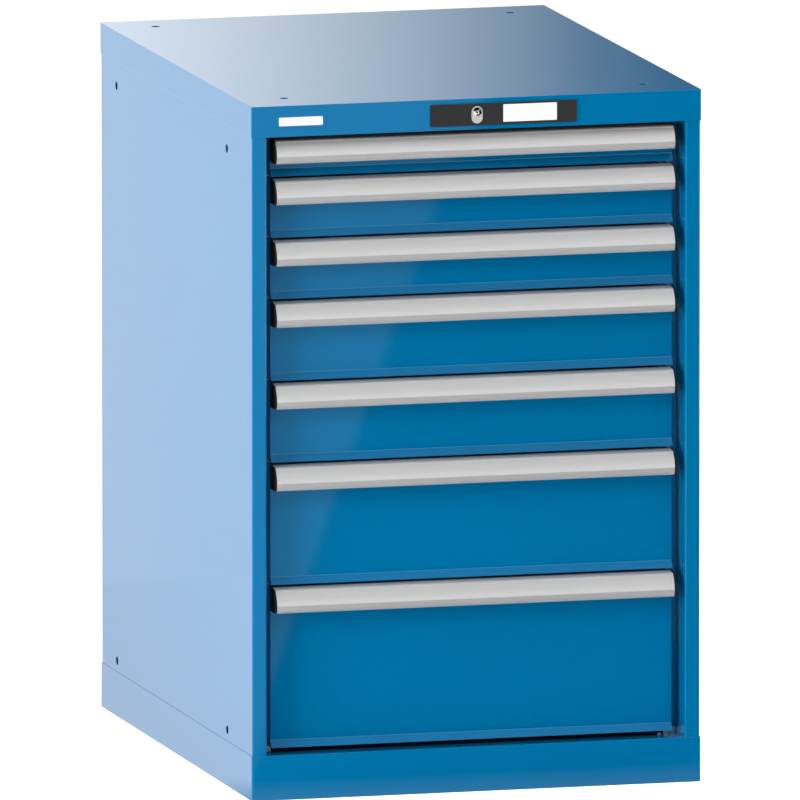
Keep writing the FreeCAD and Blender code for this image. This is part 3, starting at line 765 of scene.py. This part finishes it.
# %% World
WHITE = grey(1.0)
AMBIENT = 0.35
FRONT_LEVEL = 0.16
HORIZON_LEVEL = 1.5
BEHIND_FADE = (-0.15, 0.35)
HORIZON_FADE = (0.36, 0.26)

world = bpy.data.worlds.new("studio")
bpy.context.scene.world = world
world.use_nodes = True
sky = world.node_tree
sky.nodes.clear()
direction = add_node(sky, "ShaderNodeTexCoord", output="Generated")
behind = fade(sky, along(sky, direction, "Y"), *BEHIND_FADE)
horizon = fade(sky, along(sky, direction, "Z"), *HORIZON_FADE)
in_front = FRONT_LEVEL + (HORIZON_LEVEL - FRONT_LEVEL) * horizon
mirrored = in_front + (1.0 - in_front) * behind
glossy = ray(sky, "Is Glossy Ray")
seen = ray(sky, "Is Camera Ray") + glossy + ray(sky, "Is Transmission Ray")
lighting = AMBIENT + (1.0 - AMBIENT) * seen
level = lighting * (1.0 - glossy * (1.0 - mirrored))
background = add_node(sky, "ShaderNodeBackground", None, {"Color": WHITE, "Strength": level})
add_node(sky, "ShaderNodeOutputWorld", None, {"Surface": background})
print("world ready:", len(sky.nodes), "nodes")

# %% [markdown]
# ## Flat stage pieces
# The floor and the cards round the cabinet are plain rectangles, each with a shader of its
# own. They aren't part of the cabinet.

# %% A flat card
def flat_card(name, size, place, turn, shader_maker):
    """A flat stage piece with its own shader."""
    wide, high = size[0] / 2, size[1] / 2
    corners = [(-wide, -high, 0), (wide, -high, 0), (wide, high, 0), (-wide, high, 0)]
    mesh = bpy.data.meshes.new(name)
    mesh.from_pydata(corners, [], [(0, 1, 2, 3)])
    material = bpy.data.materials.new(name)
    material.use_nodes = True
    material.node_tree.nodes.clear()
    shader_maker(material.node_tree)
    mesh.materials.append(material)
    made = in_scene(name, mesh)
    made.location = place
    made.rotation_euler = turn
    return made


print("card helper ready")

# %% [markdown]
# ## The floor
# The floor is pale and takes the cabinet's shadow, and the camera sees it lifted to white.
# What the paint mirrors of it is a level of its own: pale behind the cabinet, black in
# front, and dim in front on the left, up to a slanted edge. That edge is what draws the
# slanted line on the drawer fronts.

# %% Floor
FLOOR_SIZE = 90.0
FLOOR_COLOUR = grey(0.82)
FLOOR_LIFT = 0.71
MIRRORED_BEHIND = 0.785
MIRRORED_LEFT = 0.19
FLOOR_BACK_FADE = (-0.5, -0.2)
EDGE_SLOPE = 0.3265
EDGE_FADE = (-0.4045, -0.4195)


def floor_shader(tree):
    where = add_node(tree, "ShaderNodeNewGeometry", output="Position")
    x, y = along(tree, where, "X"), along(tree, where, "Y")
    in_front = MIRRORED_LEFT * fade(tree, x + EDGE_SLOPE * y, *EDGE_FADE)
    behind = fade(tree, y, *FLOOR_BACK_FADE)
    mirrored = in_front + (MIRRORED_BEHIND - in_front) * behind
    pale = add_node(tree, "ShaderNodeBsdfDiffuse", None, {"Color": FLOOR_COLOUR})
    lift = add_node(tree, "ShaderNodeEmission", None, {"Color": WHITE, "Strength": FLOOR_LIFT})
    lit = add_node(tree, "ShaderNodeAddShader", None, {0: pale, 1: lift})
    reflected = add_node(tree, "ShaderNodeEmission", None, {"Color": mirrored, "Strength": 1.0})
    camera = ray(tree, "Is Camera Ray")
    plain = add_node(tree, "ShaderNodeMixShader", None, {"Fac": camera, 1: pale, 2: lit})
    glossy = ray(tree, "Is Glossy Ray")
    shown = add_node(tree, "ShaderNodeMixShader", None, {"Fac": glossy, 1: plain, 2: reflected})
    add_node(tree, "ShaderNodeOutputMaterial", None, {"Surface": shown})


flat_card("floor", (FLOOR_SIZE, FLOOR_SIZE), (0, 0, 0), (0, 0, 0), floor_shader)
print("floor ready")

# %% [markdown]
# ## Glowing shaders for the cards
# The cards only have to be mirrored, so they glow by themselves and no lamp has to reach
# them. One is graded: bright up to the middle and then falling to nearly black at the right.
# The others have one even level.

# %% Graded and even glow
CARD_GLOW = 1.12
CARD_LEFT, CARD_RIGHT = -0.8, 1.0
# The back card's level from its left limit, at 0, to its right limit, at 1
CARD_LEVELS = [
    (0.0, 0.68), (0.06, 0.69), (0.17, 0.76), (0.28, 0.86), (0.42, 0.885),
    (0.56, 0.58), (0.76, 0.137), (0.82, 0.06), (1.0, 0.05),
]


def graded_glow(tree):
    where = add_node(tree, "ShaderNodeNewGeometry", output="Position")
    part = fade(tree, along(tree, where, "X"), CARD_LEFT, CARD_RIGHT)
    stops = [(place, grey(level)) for place, level in CARD_LEVELS]
    level = add_node(tree, "ShaderNodeValToRGB", {"stops": stops}, {"Fac": part})
    glow = add_node(tree, "ShaderNodeEmission", None, {"Color": level, "Strength": CARD_GLOW})
    add_node(tree, "ShaderNodeOutputMaterial", None, {"Surface": glow})


def plain_glow(level):
    """Shader code for a card of one even level."""

    def shader_maker(tree):
        glow = add_node(tree, "ShaderNodeEmission", None, {"Color": WHITE, "Strength": level})
        add_node(tree, "ShaderNodeOutputMaterial", None, {"Surface": glow})

    return shader_maker


print(len(CARD_LEVELS), "levels on the graded card")

# %% [markdown]
# ## Cards for the reflections
# Three upright cards are seen only by reflection. The graded one stands behind the cabinet,
# for the top and the left side to mirror, and as it fades from left to right, so does the
# top. A white one on the right and a black one on the left draw the bright and the dark
# half of the polished plug.

# %% Three cards
CARD_HEIGHT = 3.0
CARD_LIFT = 0.01


def upright_card(name, left, right, shader_maker):
    """A card that stands on the floor between two places, seen only by reflection."""
    size = (math.dist(left, right), CARD_HEIGHT)
    middle_x, middle_y = (left[0] + right[0]) / 2, (left[1] + right[1]) / 2
    place = (middle_x, middle_y, CARD_HEIGHT / 2 + CARD_LIFT)
    turn = math.atan2(right[1] - left[1], right[0] - left[0])
    made = flat_card(name, size, place, (math.radians(90), 0, turn), shader_maker)
    for unseen in ("camera", "diffuse", "shadow", "transmission", "volume_scatter"):
        setattr(made, "visible_" + unseen, False)


upright_card("back_card", (-4.0, 1.2), (4.0, 1.2), graded_glow)
upright_card("right_card", (1.5, -2.96), (3.2, -0.4), plain_glow(1.1))
upright_card("left_flag", (-3.2, -1.0), (-0.6, -3.3), plain_glow(0.0))
print("3 cards ready")

# %% [markdown]
# ## The lamps
# Three wide, soft lamps light the cabinet: a strong one low on the left for the side, a weak
# one in front, and one above for the top. Mirrors don't see them, because a lamp in the gloss
# paint would be a hard bright patch that a studio's large panels never give.

# %% Soft lamps
def soft_lamp(name, place, target, size, power):
    """A rectangular lamp that looks at a target; power is in watts."""
    data = bpy.data.lights.new(name, "AREA")
    data.shape = "RECTANGLE"
    data.size, data.size_y = size
    data.energy = power
    lamp = in_scene(name, data)
    lamp.location = place
    aim = Vector(target) - Vector(place)
    lamp.rotation_euler = aim.to_track_quat("-Z", "Y").to_euler()
    lamp.visible_glossy = False


soft_lamp("side_lamp", (-3.1, -1.0, 0.9), (0, 0, 0.45), (2.0, 2.0), 125)
soft_lamp("front_lamp", (0.3, -2.6, 2.9), (0, 0, 0.4), (2.0, 1.4), 18)
soft_lamp("top_lamp", (0.3, -0.2, 3.4), (0, 0, 0.5), (2.2, 2.2), 96)
print(len(bpy.data.lights), "lamps ready")

# %% [markdown]
# ## The camera
# The photograph has almost no perspective, as a picture taken from far away. So the camera
# stands 45 m off with a very long lens, 15 degrees to the left and 9 degrees up.

# %% Camera
AZIMUTH, ELEVATION = math.radians(-15.0412), math.radians(9.0144)
DISTANCE = 44.7462
TARGET = Vector((0.00129, 0.0, 0.42504))
FOCAL_LENGTH, SENSOR_WIDTH = 1650.0, 36.0
FARTHEST_SEEN = 200.0
towards = Vector((
    math.sin(AZIMUTH) * math.cos(ELEVATION),
    -math.cos(AZIMUTH) * math.cos(ELEVATION),
    math.sin(ELEVATION),
))
lens = bpy.data.cameras.new("camera")
lens.lens = FOCAL_LENGTH
lens.sensor_width = SENSOR_WIDTH
lens.clip_end = FARTHEST_SEEN
camera = in_scene("camera", lens)
camera.location = TARGET + towards * DISTANCE
camera.rotation_euler = (-towards).to_track_quat("-Z", "Y").to_euler()
bpy.context.scene.camera = camera
bpy.context.scene.view_settings.view_transform = "Standard"
print("camera", round(DISTANCE, 2), "m away")

# %% [markdown]
# The looks must not change the cabinet's size. Last, the scene is brought up to date.

# %% Bring the scene up to date
bpy.context.view_layer.update()
